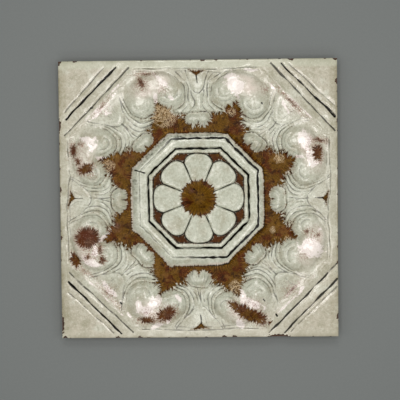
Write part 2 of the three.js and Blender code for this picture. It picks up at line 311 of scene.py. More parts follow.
def curve_through(points, per_span=6):
    """A smooth open curve through the points."""
    pts = np.array(points, float)
    ends = np.vstack([2 * pts[0] - pts[1], pts, 2 * pts[-1] - pts[-2]])
    t = np.linspace(0, 1, per_span, endpoint=False)[:, None]
    spans = []
    for a, b, c, d in zip(ends, ends[1:], ends[2:], ends[3:]):
        spans.append(0.5 * (2 * b + (c - a) * t + (2 * a - 5 * b + 4 * c - d) * t ** 2
                            + (3 * b - a - 3 * c + d) * t ** 3))
    return np.vstack(spans + [pts[-1:]])


def distance_to(path, u, v):
    """Distance from each place to a run of straight pieces."""
    nearest = np.full(u.shape, np.inf)
    for (ax, ay), (bx, by) in zip(path, path[1:]):
        dx, dy = bx - ax, by - ay
        share = ((u - ax) * dx + (v - ay) * dy) / max(dx * dx + dy * dy, 1e-12)
        share = np.clip(share, 0, 1)
        nearest = np.minimum(nearest, (u - ax - share * dx) ** 2 + (v - ay - share * dy) ** 2)
    return np.sqrt(nearest)


def depth_inside(path, u, v):
    """Distance to the edge of a closed outline, positive inside it."""
    closed = np.vstack([path, path[:1]])
    within = np.zeros(u.shape, bool)
    for (ax, ay), (bx, by) in zip(closed, closed[1:]):
        if ay != by:
            crosses = (ay > v) != (by > v)
            within ^= crosses & (u < (bx - ax) * (v - ay) / (by - ay) + ax)
    return np.where(within, 1, -1) * distance_to(closed, u, v)


def both_halves(half):
    mirrored = half[::-1] * [-1, 1]
    return np.vstack([half, mirrored])


def swell(depth, reach):
    """Rises from 0 at an edge to 1 at the given depth inside it."""
    return np.sin(np.clip(depth / reach, 0, 1) * math.pi / 2)


def blend_step(low, high, value):
    t = np.clip((value - low) / (high - low), 0, 1)
    return t * t * (3 - 2 * t)


def soft_max(a, b, width):
    share = np.clip(0.5 + 0.5 * (a - b) / width, 0, 1)
    return b * (1 - share) + a * share + width * share * (1 - share)


def waves(x, y, rng, count, shortest, longest):
    """A gentle random surface made of a few long waves, about -1 to 1."""
    total = np.zeros(np.broadcast(x, y).shape)
    for _ in range(count):
        angle = rng.uniform(0, TURN)
        length = rng.uniform(shortest, longest)
        phase = rng.uniform(0, TURN)
        total += np.sin((x * math.cos(angle) + y * math.sin(angle)) * TURN / length + phase)
    return total / math.sqrt(count)


class DrawnLines:
    """How far the nearest drawn line is from each place, and how dark it is."""

    def __init__(self, gap, tone):
        self.gap = gap
        self.tone = tone

    def add(self, away, darkness, where=True):
        away = np.where(where, away, FAR)
        self.tone = np.where(away < self.gap, darkness, self.tone)
        self.gap = np.minimum(self.gap, away)


# The motif that repeats eight times round the field

def risen(top, depth, reach):
    """A form that rises from the floor of the field at its outline."""
    return FLOOR + (top - FLOOR) * swell(depth, reach)


def carve_rosette(u, v, lines):
    """Petals and boss, with the distance inside a petal's tip; the petals' outline joins the lines."""
    radius = np.hypot(u, v)
    wedge = (v * math.tan(GAP_ANGLE) - np.abs(u)) * math.cos(GAP_ANGLE)
    beyond = np.clip(v - PETAL_CENTRE, 0, None)
    share = (np.abs(u) / PETAL_HALF_WIDTH) ** PETAL_SQUARENESS + (beyond / PETAL_TIP) ** PETAL_SQUARENESS
    tip = (1 - share ** (1 / PETAL_SQUARENESS)) * PETAL_HALF_WIDTH
    petal = np.minimum(wedge, tip)
    bulge = np.cos(np.clip(np.abs(u) / np.maximum(v * PETAL_SPREAD, 1), 0, 1) * math.pi / 2)
    petal_top = PETAL_LEVEL + PETAL_BULGE * bulge
    petal_height = ROSETTE_FLOOR + (petal_top - ROSETTE_FLOOR) * swell(petal + 0.1, 1.0)
    boss = PETAL_LEVEL + (BOSS_RISE - PETAL_LEVEL) * blend_step(BOSS_RADIUS, 2.0, radius)
    boss = np.where(radius < BOSS_RADIUS + 2, boss, -5.0)
    rosette = soft_max(np.maximum(petal_height, ROSETTE_FLOOR), boss, 0.25)
    outline = (v < FRAME_INNER + 0.9) & (radius > BOSS_RADIUS)
    lines.add(np.abs(petal) - 0.12 - 0.012 * np.clip(v - 10, 0, 12), PETAL_LINE_TONE, outline)
    return rosette, tip


def carve_motif(drawn_lines):
    """Fields of one mirrored half of the motif on a fine grid."""
    across_to, outward_to = PATTERN_REACH
    columns = np.arange(-PATTERN_MARGIN, across_to, PATTERN_STEP)
    u, v = np.meshgrid(columns, np.arange(0, outward_to, PATTERN_STEP))
    palmette = depth_inside(both_halves(curve_through(PALMETTE)), u, v)
    fan = depth_inside(both_halves(np.array(FAN, float)), u, v)
    reach = math.asin(SCROLL_RADIUS / SCROLL_FROM_CENTRE)
    scroll_u = SCROLL_FROM_CENTRE * math.sin(GAP_ANGLE - reach)
    scroll_v = SCROLL_FROM_CENTRE * math.cos(GAP_ANGLE - reach)
    from_eye = np.hypot(u - scroll_u, v - scroll_v)
    across = u * math.cos(GAP_ANGLE) - v * math.sin(GAP_ANGLE)
    outward = u * math.sin(GAP_ANGLE) + v * math.cos(GAP_ANGLE) - HEAD_FROM_CENTRE
    head_share = np.hypot(across / HEAD_HALF[0], outward / HEAD_HALF[1])
    head = (1 - head_share) * HEAD_HALF[1]
    rim_depth = np.hypot(u, v) - (FIELD_EDGE - RIM_WIDTH)

    lines = DrawnLines(np.full(u.shape, FAR), np.zeros(u.shape))
    for points, half_width, darkness in drawn_lines + LOBE_LINES:
        path = curve_through(points)
        away = np.minimum(distance_to(path, u, v), distance_to(path * [-1, 1], u, v)) - half_width
        lines.add(away, darkness)
    lower_side = -(u - scroll_u) * 0.5 - (v - scroll_v) * 0.87
    rolled = np.zeros(u.shape)
    for roll_radius, roll_depth, darkness in ROLLS:
        share = blend_step(-0.2, 0.6, lower_side / roll_radius)
        rolled += roll_depth * share * np.exp(-((from_eye - roll_radius) / ROLL_WIDTH) ** 2)
        lines.add(np.abs(from_eye - roll_radius) - ROLL_LINE_HALF, darkness, share > 0.4)

    fan_ridge = FAN_RIDGE * blend_step(3.5, 0, np.abs(u)) * blend_step(62, 58, v)
    fan_top = FAN_LEVEL + fan_ridge - FAN_FALL * np.clip(v - 61, 0, 12)
    height = risen(fan_top, fan, 1.5)
    palmette_top = PALMETTE_LEVEL - 0.25 * np.exp(-(u / 1.1) ** 2)
    height = soft_max(height, risen(palmette_top, palmette, 3.4), 0.25)
    height = soft_max(height, np.interp(from_eye, *zip(*SCROLL_PROFILE)) - rolled, 0.35)
    drop = (across ** 2 + (outward + HEAD_APEX_INWARD) ** 2) / (2 * HEAD_BEND_RADIUS)
    crown = FLOOR + (CROWN_RISE - drop - FLOOR) * (1 - np.clip(head_share, 0, 1) ** 6)
    height = soft_max(height, crown, 0.5)
    height = soft_max(height, risen(RIM_LEVEL, rim_depth, 2.5), 0.3)
    reeds = 1 - np.exp(-(np.clip(lines.gap, 0, None) / REED_WIDTH) ** 2)
    raised = blend_step(0.0, 1.2, np.maximum(fan, np.maximum(head, SCROLL_RADIUS - from_eye)))
    height += REED_DEPTH * (reeds - 1) * raised * blend_step(0.3, 0.5, lines.tone)

    ornament = soft_max(palmette, fan, 4.0)
    ornament = soft_max(ornament, SCROLL_RADIUS + 0.2 - from_eye, 5.0)
    ornament = np.maximum(soft_max(ornament, head, 2.0), rim_depth)
    height = soft_max(height, risen(ORNAMENT_LEVEL, ornament, 2.5), 0.4)
    run_in = np.clip(ornament, 0, None) * 1.4 + np.clip(lines.gap, 0, None) * 3 - 1.2
    ornament = np.where(lines.tone > 0.45, np.minimum(ornament, run_in), ornament)
    rosette, tip = carve_rosette(u, v, lines)
    return {"height": height, "rosette": rosette, "ornament": ornament, "spandrel": tip + 0.25,
            "gap": lines.gap, "tone": lines.tone, "head": head_share}


def lay_out(pattern, u, v):
    """Read the motif's fields at folded places, between its grid points."""
    column = np.clip((u + PATTERN_MARGIN) / PATTERN_STEP, 0, pattern["height"].shape[1] - 1.001)
    row = np.clip(v / PATTERN_STEP, 0, pattern["height"].shape[0] - 1.001)
    i, j = column.astype(int), row.astype(int)
    s, t = column - i, row - j
    laid = {}
    for name, field in pattern.items():
        low = field[j, i] * (1 - s) + field[j, i + 1] * s
        high = field[j + 1, i] * (1 - s) + field[j + 1, i + 1] * s
        laid[name] = low * (1 - t) + high * t
    return laid


# The whole face

def turned_share(x, y, centre, half_sizes, degrees):
    """Distance from a turned oval's centre, 1 on its outline."""
    c, s = math.cos(math.radians(degrees)), math.sin(math.radians(degrees))
    dx, dy = x - centre[0], y - centre[1]
    return np.hypot((dx * c + dy * s) / half_sizes[0], (dy * c - dx * s) / half_sizes[1])


def soft_spots(x, y, places):
    """1 at each place, fading over its size."""
    spots = np.zeros(x.shape)
    for px, py, size in places:
        spots = np.maximum(spots, np.exp(-((x - px) ** 2 + (y - py) ** 2) / size ** 2))
    return spots


def wear_glaze(x, y):
    """Distance outside the worn patches, with the fray and the redness of the nearest one."""
    worn = np.full(x.shape, FAR)
    worn_fray = np.zeros(x.shape)
    redness = np.zeros(x.shape)
    for px, py, half_x, half_y, degrees, red in WORN_PATCHES:
        smaller = min(half_x, half_y)
        away = (turned_share(x, y, (px, py), (half_x, half_y), degrees) - 1) * smaller
        worn_fray = np.where(away < worn, min(0.2 + 0.22 * smaller, 0.85), worn_fray)
        redness = np.where(away < worn, red, redness)
        worn = np.minimum(worn, away)
    return worn, worn_fray, redness


def draw_frame_lines(lines, to_flat, to_foot, x, y, dark_side, rng):
    """The black groove and the thinner lines round the frame, darker on the shaded side."""
    close = to_flat < FRAME_FOOT + 3
    strayed = to_flat + 0.12 * waves(x, y, rng, 5, 3, 9)
    groove_half_width = 0.46 * (1 + 0.25 * waves(x, y, rng, 4, 3, 10))
    lines.add(np.abs(strayed - FRAME_GROOVE) - groove_half_width, 1.0, close)
    line_half_width = 0.2 + 0.3 * dark_side * (1 + 0.4 * waves(x, y, rng, 4, 3, 10))
    from_line = np.abs(strayed - FRAME_LINE - 0.4 * dark_side)
    lines.add(from_line - line_half_width, 0.5 + 0.5 * dark_side, close)
    lines.add(np.abs(to_foot - FRAME_FOOT) - 0.12, 0.25 + 0.5 * dark_side, close)
    lines.add(np.abs(to_flat - FRAME_INNER) - 0.14, 0.75, close)


def draw_border_lines(lines, straight, slanted, x, y, rng):
    """Lines along the field's straight sides and across the four corners."""
    along_edge = slanted > 1.5
    lines.add(np.abs(straight) - 0.16, 0.5, along_edge)
    lines.add(np.abs(straight - 1.5) - 0.12, 0.4, along_edge)
    bend_x = x + 0.16 * waves(x, y, rng, 4, 7, 22)
    bend_y = y + 0.16 * waves(x, y, rng, 4, 7, 22)
    for start, end, half_widths, darkness in CORNER_LINES:
        across, down = end[0] - start[0], end[1] - start[1]
        share = ((x - start[0]) * across + (y - start[1]) * down) / (across ** 2 + down ** 2)
        half_width = np.interp(share, (0, 0.5, 1), half_widths) * (1 + 0.3 * waves(x, y, rng, 3, 5, 14))
        lines.add(distance_to([start, end], bend_x, bend_y) - half_width - 0.06, darkness)


def press_facets(x, y, height):
    """Flatten the pressed places on the heads to their own tilted planes."""
    for px, py, size, fall_x, fall_y in FACETS:
        row, column = int((py + HALF) / SIDE * GRID), int((px + HALF) / SIDE * GRID)
        plane = height[row, column] + fall_x * (x - px) + fall_y * (y - py)
        share = np.exp(-(np.hypot(x - px, y - py) / size) ** 4)
        height = height * (1 - share) + plane * share
    return height


def carve_face():
    """Height and the masks of the glaze at each point of the face's grid."""
    rng = np.random.default_rng(FACE_SEED)
    axis = np.linspace(-HALF, HALF, GRID)
    x, y = np.meshgrid(axis, axis)
    ring = blend_step(38, 44, np.hypot(x, y)) * blend_step(80, 70, np.hypot(x, y))
    sway = 0.16 + 0.55 * ring
    wobble = 0.05 + 0.2 * ring
    wx = x + sway * waves(x, y, rng, 5, 22, 60) + wobble * waves(x, y, rng, 6, 5, 13)
    wy = y + sway * waves(x, y, rng, 5, 22, 60) + wobble * waves(x, y, rng, 6, 5, 13)
    wy = wy - FRAME_OFF_CENTRE * blend_step(37.5, 33, np.maximum(np.abs(wx), np.abs(wy)))
    radius = np.hypot(wx, wy)
    bearing = np.arctan2(wx, wy)
    sector = np.round(bearing / (TURN / 8))
    local = bearing - sector * TURN / 8
    u, v = np.abs(radius * np.sin(local)), radius * np.cos(local)
    diagonal = sector.astype(int) % 2 == 1
    stretch = 0.2 * np.clip(v - 60, 0, 15) * blend_step(22, 10, u) * diagonal
    narrow = lay_out(carve_motif(NARROW_LINES), u, v)
    wide = lay_out(carve_motif(WIDE_LINES), u, v - stretch)
    fields = {name: np.where(sector == 0, narrow[name], wide[name]) for name in wide}

    height = fields["height"]
    slanted_flat = (np.abs(wx) + np.abs(wy)) / math.sqrt(2) / FRAME_SLANT
    to_flat = np.maximum(np.maximum(np.abs(wx), np.abs(wy)), slanted_flat)
    frame_top = np.interp(to_flat, *zip(*FRAME_PROFILE))
    frame_top = np.where(to_flat < FRAME_INNER, fields["rosette"], frame_top)
    framed = np.maximum(frame_top, np.where(to_flat > FRAME_FOOT - 1, height, -9))
    height = np.where(to_flat < FRAME_FOOT + 0.5, framed, height)

    side_ends = [45 * side + end for side in range(9) for end in (-16, 16)]
    creep = np.interp(np.degrees(bearing) % 360, side_ends, np.repeat(BROWN_CREEP + BROWN_CREEP[:1], 2))
    to_foot = to_flat + creep
    recess = np.maximum(fields["ornament"], FRAME_FOOT - 0.2 - to_foot)
    spandrel = np.maximum(to_flat - FRAME_INNER, fields["spandrel"])
    brown = np.minimum(np.minimum(recess, spandrel), radius - BOSS_STAIN)
    fray = np.where((u < 7.5) & (v < 46) & (sector != 0), 0.45, 0.95)
    fray = np.where(to_flat < 26, 0.4, fray)
    fray = np.where(radius < 14, 0.8, fray)
    fray = np.where(np.abs(to_foot - FRAME_FOOT) < 1.6, 0.35, fray)

    straight = np.minimum(FIELD_EDGE - np.abs(wx), FIELD_EDGE - np.abs(wy))
    slanted = CORNER_EDGE - (np.abs(wx) + np.abs(wy)) / math.sqrt(2)
    within = np.minimum(straight, slanted)
    height = height * blend_step(-0.35, 0.25, within)
    ridge = np.exp(-((slanted + 0.1) / 1.5) ** 2) * blend_step(0.5, 2, straight)
    height = height + CORNER_RIDGE * ridge * (1 + 0.5 * waves(x, y, rng, 4, 4, 12))
    inside = within > 0.2
    brown = np.where(inside, brown, FAR)

    lines = DrawnLines(np.where(inside, fields["gap"], FAR), fields["tone"])
    dark_side = blend_step(-0.6, 0.0, np.cos(bearing - math.radians(80)))
    # Painted shade: the frame's sloping outside is greyed, most on the north-west side, partly grey streaks
    # in the glaze
    shaded_side = blend_step(0.2, 0.9, np.cos(bearing + math.radians(30)))
    draw_frame_lines(lines, to_flat, to_foot, x, y, dark_side, rng)
    bevel = blend_step(33.0, 33.5, to_flat) * blend_step(36.9, 36.4, to_foot) * (0.15 + 0.7 * shaded_side)
    slit = distance_to(RIM_SLIT, u, v) - 0.1 - 0.05 * np.clip(v - 64, 0, 4)
    lines.add(slit, 0.9, ~diagonal)
    for tick in TICKS:
        lines.add(distance_to(tick, x, y) - TICK_HALF_WIDTH, 1.0)
    draw_border_lines(lines, straight, slanted, x, y, rng)
    line_groove = np.exp(-(np.clip(lines.gap, 0, None) / 0.3) ** 2) * (lines.gap < 2)
    height -= 0.3 * lines.tone ** 2 * line_groove * (within < 2.2)

    base_v = FIELD_EDGE - 0.7
    hollow = np.maximum(base_v - v - 2.7 * np.clip(1 - u / 4.2, 0, 1) ** 1.4, v - base_v)
    hollow = np.where(diagonal | (u > 5), FAR, hollow)
    hollow_height = np.minimum(height, -1.3 + 1.3 * blend_step(-0.6, 0.8, hollow))
    height = np.where(hollow < 1, hollow_height, height)
    fray = np.where(hollow < brown, 0.3, fray)
    brown = np.minimum(brown, hollow)

    worn, worn_fray, redness = wear_glaze(x, y)
    tint = np.maximum(redness * blend_step(1.5, 0.0, worn - brown), soft_spots(x, y, DARK_SPOTS))
    fray = np.where(worn < brown, worn_fray, fray)
    height -= 0.12 * blend_step(0.4, -0.8, worn)
    edge = np.minimum(brown, worn)
    veins = soft_spots(x, y, VEINED_PLACES)
    flush = 0.12 * inside * blend_step(38, 44, to_flat)
    flush = np.maximum(flush, 0.9 * blend_step(2.6, 0.2, worn) * inside)
    flush = np.maximum(flush, soft_spots(x, y, FLUSHED_PLACES))
    # Painted highlight: the head crowns, the corner ridges' crests and a line at the frame's foot are
    # lightened, partly also the paler thin glaze on the high parts
    crown = blend_step(0.95, 0.35, fields["head"]) * inside
    crest = blend_step(20, 12, u) * diagonal
    crown = np.maximum(crown, 0.4 * np.exp(-((slanted - 0.6) / 0.8) ** 2) * crest)
    crown = np.maximum(crown, np.exp(-((to_foot - 36.3) / 0.4) ** 2))
    # Painted highlight: whitish patches on the heads and a thin white line along the corner ridges
    thin = np.zeros(x.shape)
    for px, py, half_x, half_y, degrees in PAINTED_HIGHLIGHT_PLACES:
        share = turned_share(x, y, (px, py), (half_x, half_y), degrees)
        thin = np.maximum(thin, blend_step(1.6, 0.4, share))
    thin = np.maximum(thin, 0.75 * np.exp(-((slanted - 0.1) / 0.3) ** 2) * crest)

    height += 0.05 * waves(x, y, rng, 6, 5, 16) + 0.06 * waves(x, y, rng, 4, 30, 90)
    height += 0.14 * waves(x, y, rng, 9, 6, 15) * blend_step(0.3, 1.6, height)
    height, bare = break_edges(x, y, press_facets(x, y, height), rng)
    height = np.minimum(height, CROWN_RISE)
    slope_y, slope_x = np.gradient(edge, axis[1] - axis[0])
    steep = np.maximum(np.hypot(slope_x, slope_y), 0.5)
    return {
        "height": height, "edge": np.clip(edge, -5, 5), "gap": np.clip(lines.gap, -1, 3),
        "tone": lines.tone, "tint": tint, "veins": veins, "bare": bare, "fray": fray, "bevel": bevel,
        "flush": flush, "crown": crown, "thin": thin,
        "root_x": x - edge * slope_x / steep ** 2, "root_y": y - edge * slope_y / steep ** 2,
    }


def break_edges(x, y, height, rng):
    """Round the arris, then bite the chips and many small nicks out of it."""
    sides = {"right": (HALF - x, y), "left": (HALF + x, y), "top": (HALF - y, x), "bottom": (HALF + y, x)}
    inward = np.minimum.reduce([pair[0] for pair in sides.values()])
    tuck = np.clip(ARRIS_RADIUS - inward, 0, ARRIS_RADIUS)
    height = height - (ARRIS_RADIUS - np.sqrt(np.clip(ARRIS_RADIUS ** 2 - tuck ** 2, 0, None))) * 0.8
    bites = list(CHIPS)
    names = list(sides)
    for _ in range(NICK_COUNT):
        length = rng.uniform(0.6, 1.6)
        side, share = names[rng.integers(4)], rng.uniform(-0.98, 0.98)
        bites.append((side, share, length, rng.uniform(0.25, 0.5) * length))
    ragged = 1 + 0.16 * waves(x, y, rng, 6, 0.9, 2.6)
    bare = np.zeros(x.shape)
    for side, share, length, depth in bites:
        inset, along = sides[side]
        reach = np.hypot((along - share * HALF) / (length / 2), inset / depth) * ragged
        bottom = -CHIP_HEIGHT_SHARE * depth * np.sqrt(np.clip(1 - reach ** 2, 0, 1))
        height = np.where(reach < 1, np.minimum(height, bottom), height)
        bare = np.maximum(bare, blend_step(1.06, 0.94, reach))
    return height, bare


# Meshing a grid of heights with right triangles, small only where the surface needs them

def split_errors(fields):
    size = fields[0].shape[0]
    error = np.zeros((size, size))

    def own(mid, a, b):
        return np.maximum.reduce([np.abs(f[mid] - (f[a] + f[b]) / 2) for f in fields])

    step = 1
    while step < size - 1:
        whole = np.arange(0, size, 2 * step)
        odd = np.arange(step, size, 2 * step)
        for rows, columns, dj, di in ((whole, odd, 0, step), (odd, whole, step, 0)):
            j, i = np.meshgrid(rows, columns, indexing="ij")
            found = own((j, i), (j - dj, i - di), (j + dj, i + di))
            half = step // 2
            if half:
                for sj in (-half, half):
                    for si in (-half, half):
                        jj, ii = np.clip(j + sj, 0, size - 1), np.clip(i + si, 0, size - 1)
                        real = (j + sj == jj) & (i + si == ii)
                        found = np.maximum(found, np.where(real, error[jj, ii], 0))
            error[j, i] = found
        j, i = np.meshgrid(odd, odd, indexing="ij")
        lean = np.where((j // (2 * step) + i // (2 * step)) % 2 == 0, step, -step)
        found = own((j, i), (j - step, i - lean), (j + step, i + lean))
        for sj, si in ((0, step), (0, -step), (step, 0), (-step, 0)):
            found = np.maximum(found, error[j + sj, i + si])
        error[j, i] = found
        step *= 2
    return error


def triangles_above(error, tolerance):
    """Corner indices, row and column, of the triangles that keep within the tolerance."""
    last = error.shape[0] - 1
    a = np.array([[0, 0], [last, last]])
    b = np.array([[last, last], [0, 0]])
    c = np.array([[last, 0], [0, last]])
    done = []
    while len(a):
        total = a + b
        mid = total // 2
        splits = (total % 2 == 0).all(1) & (error[mid[:, 0], mid[:, 1]] > tolerance)
        keep = ~splits
        done.append(np.stack([a[keep], b[keep], c[keep]], 1))
        a, b, c, mid = a[splits], b[splits], c[splits], mid[splits]
        a, b, c = np.vstack([c, b]), np.vstack([a, c]), np.vstack([mid, mid])
    return np.vstack(done)


def mesh_grid(fields, most):
    """Points as rows and columns, and triangles, with the tolerance raised until they fit."""
    error = split_errors(fields)
    tolerance = FINEST_TOLERANCE
    corners = triangles_above(error, tolerance)
    while len(corners) > most:
        tolerance *= TOLERANCE_STEP
        corners = triangles_above(error, tolerance)
    size = error.shape[0]
    flat = corners[:, :, 0] * size + corners[:, :, 1]
    used, faces = np.unique(flat, return_inverse=True)
    return used // size, used % size, faces.reshape(-1, 3)


def chain_around(rows, columns, size):
    """Indices of the border points, anticlockwise from above, starting at the low corner."""
    last = size - 1
    index = np.arange(len(rows))
    walks = []
    for fixed, value, moving, backwards in ((rows, 0, columns, False), (columns, last, rows, False),
                                            (rows, last, columns, True), (columns, 0, rows, True)):
        side = index[fixed == value]
        side = side[np.argsort(moving[side])]
        walks.append(side[::-1][:-1] if backwards else side[:-1])
    return np.concatenate(walks)


def wall_between(upper, lower, upper_way, lower_way):
    """Triangles between two closed border chains, by how far round each point lies."""
    faces = []
    i = j = 0
    count_up, count_low = len(upper), len(lower)
    while i < count_up or j < count_low:
        next_up = upper_way[i + 1] if i < count_up else np.inf
        next_low = lower_way[j + 1] if j < count_low else np.inf
        here_up, here_low = upper[i % count_up], lower[j % count_low]
        if next_up <= next_low:
            faces.append((here_low, upper[(i + 1) % count_up], here_up))
            i += 1
        else:
            faces.append((here_low, lower[(j + 1) % count_low], here_up))
            j += 1
    return np.array(faces)


def way_round(x, y):
    """How far each point of a closed border chain lies along it."""
    closed_x, closed_y = np.append(x, x[0]), np.append(y, y[0])
    return np.concatenate([[0], np.cumsum(np.abs(np.diff(closed_x)) + np.abs(np.diff(closed_y)))])


# The back, and the tile as one closed mesh

def carve_back():
    rng = np.random.default_rng(BACK_SEED)
    axis = np.linspace(-HALF, HALF, BACK_GRID)
    x, y = np.meshgrid(axis, axis)
    pitch = (SIDE - 2 * KEY_END_GAP - KEY_WIDTH) / (KEY_COUNT - 1)
    from_groove = np.abs((y / pitch + KEY_COUNT / 2) % 1 - 0.5) * pitch
    outside = np.abs(y) > HALF - KEY_END_GAP + 0.5
    depth = np.where(outside, 0, blend_step(KEY_WIDTH / 2 + 0.6, KEY_WIDTH / 2 - 0.6, from_groove))
    depth *= blend_step(HALF - KEY_END_GAP + 0.6, HALF - KEY_END_GAP - 0.6, np.abs(x))
    rise = KEY_DEPTH * depth + 0.05 * (1 + np.clip(waves(x, y, rng, 5, 6, 20), -1, 1)) * (1 - depth)
    inward = np.minimum(HALF - np.abs(x), HALF - np.abs(y))
    return np.where(inward < 0.5, 0.3, rise * blend_step(0.5, 2.0, inward))


def build_tile():
    face = carve_face()
    line_mask = np.exp(-(np.clip(face["gap"], 0, None) / 0.35) ** 2) * face["tone"]
    edge_mask = 1 / (1 + np.exp(np.clip(face["edge"] * 3, -20, 20)))
    weighed = [HEIGHT_WEIGHT * face["height"], LINE_WEIGHT * line_mask, EDGE_WEIGHT * edge_mask]
    rows, columns, faces = mesh_grid(weighed, FACE_TRIANGLES)
    spacing = SIDE / (GRID - 1)
    top = np.stack([columns * spacing - HALF, rows * spacing - HALF,
                    BORDER + face["height"][rows, columns]], 1)

    back = carve_back()
    back_rows, back_columns, back_faces = mesh_grid([back], BACK_TRIANGLES)
    back_spacing = SIDE / (BACK_GRID - 1)
    bottom = np.stack([back_columns * back_spacing - HALF, back_rows * back_spacing - HALF,
                       back[back_rows, back_columns]], 1)
    upper = chain_around(rows, columns, GRID)
    lower = chain_around(back_rows, back_columns, BACK_GRID) + len(top)
    middle = np.arange(len(upper)) + len(top) + len(bottom)
    ring = np.column_stack([top[upper, :2], np.full(len(upper), GLAZED_TO + 0.3)])
    points = np.vstack([top, bottom, ring])
    upper_way, lower_way = way_round(*points[upper, :2].T), way_round(*points[lower, :2].T)
    wall = [wall_between(upper, middle, upper_way, upper_way),
            wall_between(middle, lower, upper_way, lower_way)]
    triangles = np.vstack([faces, back_faces[:, ::-1] + len(top)] + wall)

    mesh = bpy.data.meshes.new("glazed_tile")
    mesh.from_pydata((points * MM).tolist(), [], triangles.tolist())
    tile = bpy.data.objects.new("glazed_tile", mesh)
    bpy.context.scene.collection.objects.link(tile)
    for name in MASKS:
        values = np.full(len(points), HIDDEN_MASKS.get(name, 0.0), np.float32)
        values[:len(top)] = face[name][rows, columns]
        mesh.attributes.new(name, "FLOAT", "POINT").data.foreach_set("value", values)
    mesh.shade_smooth()
    mesh.set_sharp_from_angle(angle=CREASE_ANGLE)
    mesh.validate()
    return tile


# Materials

def srgb(red, green, blue):
    """Linear colour from the values read off a screen."""
    def linear(value):
        value /= 255
        return value / 12.92 if value <= 0.04045 else ((value + 0.055) / 1.055) ** 2.4
    return (linear(red), linear(green), linear(blue), 1.0)


OLIVE_DARK, OLIVE = srgb(74, 48, 2), srgb(112, 78, 12)
RUST_DARK, RUST = srgb(60, 22, 2), srgb(96, 46, 6)
UMBER = srgb(44, 18, 2)
GOLDEN_HAZE = srgb(134, 98, 46)
BROWN_GRIT_DARK, BROWN_GRIT_PALE = srgb(44, 22, 2), srgb(146, 106, 40)
BROWN_STREAK, BROWN_RIM = srgb(160, 120, 62), srgb(46, 24, 4)
SPANDREL_RED, SPANDREL_DARK = srgb(72, 32, 8), srgb(36, 10, 2)
PURPLE_DARK, PURPLE_PALE = srgb(58, 28, 16), srgb(110, 80, 66)
PURPLE_RED, PURPLE_DUST = srgb(86, 42, 24), srgb(142, 106, 88)
STRAW_VEIN = srgb(204, 182, 146)
CREAM, CREAM_OUTER, CREAM_WARM = srgb(197, 201, 183), srgb(202, 196, 177), srgb(204, 196, 176)
CREAM_SHADE, CREAM_LIGHT = srgb(172, 168, 144), srgb(226, 228, 212)
CREAM_GRIT_DARK, CREAM_GRIT_PALE = srgb(160, 158, 136), srgb(226, 225, 210)
MOTTLE_DARK, MOTTLE_PALE = srgb(164, 162, 136), srgb(228, 229, 212)
# Painted highlight colours: the crown pink and the near white; the reddish down is the glaze's own colour
CROWN_HIGHLIGHT_PINK, PAINTED_HIGHLIGHT_WHITE, DOWN_RED = srgb(238, 224, 212), srgb(255, 246, 240), srgb(142, 88, 76)
# Painted shade greys for the frame's sloping outside
BEVEL_SHADE_GREY, BEVEL_SHADE_DASH = srgb(104, 105, 92), srgb(76, 76, 64)
EDGE_OLIVE, FRINGE = srgb(132, 122, 90), srgb(176, 142, 112)
# Painted light and shade for the outer border: darker at the sides, lighter at the top and bottom
SIDE_BORDER_SHADE, TOP_BORDER_LIGHT, BOTTOM_BORDER_LIGHT = srgb(140, 134, 96), srgb(214, 220, 198), srgb(218, 214, 196)
LINE_BLACK = srgb(12, 10, 2)
RED_CLAY_DARK, RED_CLAY, RED_CLAY_GRIT = srgb(66, 48, 38), srgb(98, 70, 54), srgb(50, 38, 32)
BUFF_CLAY, BUFF_CLAY_PALE, BUFF_CLAY_GRIT = srgb(168, 134, 104), srgb(188, 154, 120), srgb(120, 92, 70)
PAPER_DARK, PAPER_PALE = srgb(124, 129, 129), srgb(131, 135, 134)


class Nodes:
    """Short calls for adding and wiring shader nodes."""

    def __init__(self, tree):
        self.tree = tree

    def add(self, kind, **settings):
        node = self.tree.nodes.new(kind)
        for name, value in settings.items():
            setattr(node, name, value)
        return node

    def feed(self, socket, value):
        if isinstance(value, bpy.types.NodeSocket):
            self.tree.links.new(value, socket)
        else:
            socket.default_value = value

    def math(self, operation, a, b=0.0, c=0.0, clamp=False):
        node = self.add("ShaderNodeMath", operation=operation, use_clamp=clamp)
        for socket, value in zip(node.inputs, (a, b, c)):
            self.feed(socket, value)
        return node.outputs[0]

    def math_vector(self, operation, vector):
        node = self.add("ShaderNodeVectorMath", operation=operation)
        self.feed(node.inputs[0], vector)
        return node.outputs[0]

    def split(self, vector):
        node = self.add("ShaderNodeSeparateXYZ")
        self.feed(node.inputs[0], vector)
        return node.outputs[0], node.outputs[1], node.outputs[2]

    def ramp(self, value, low, high, out_low=0.0, out_high=1.0):
        node = self.add("ShaderNodeMapRange", interpolation_type="SMOOTHSTEP")
        for socket, given in zip(node.inputs, (value, low, high, out_low, out_high)):
            self.feed(socket, given)
        return node.outputs[0]

    def mix(self, share, a, b):
        node = self.add("ShaderNodeMix", data_type="RGBA")
        self.feed(node.inputs["Factor"], share)
        self.feed(node.inputs[6], a)
        self.feed(node.inputs[7], b)
        return node.outputs[2]

    def noise(self, vector, scale, detail=2.0, roughness=0.5):
        node = self.add("ShaderNodeTexNoise")
        self.feed(node.inputs["Vector"], vector)
        node.inputs["Scale"].default_value = scale
        node.inputs["Detail"].default_value = detail
        node.inputs["Roughness"].default_value = roughness
        return node.outputs["Fac"]

    def attribute(self, name):
        return self.add("ShaderNodeAttribute", attribute_name=name).outputs["Fac"]


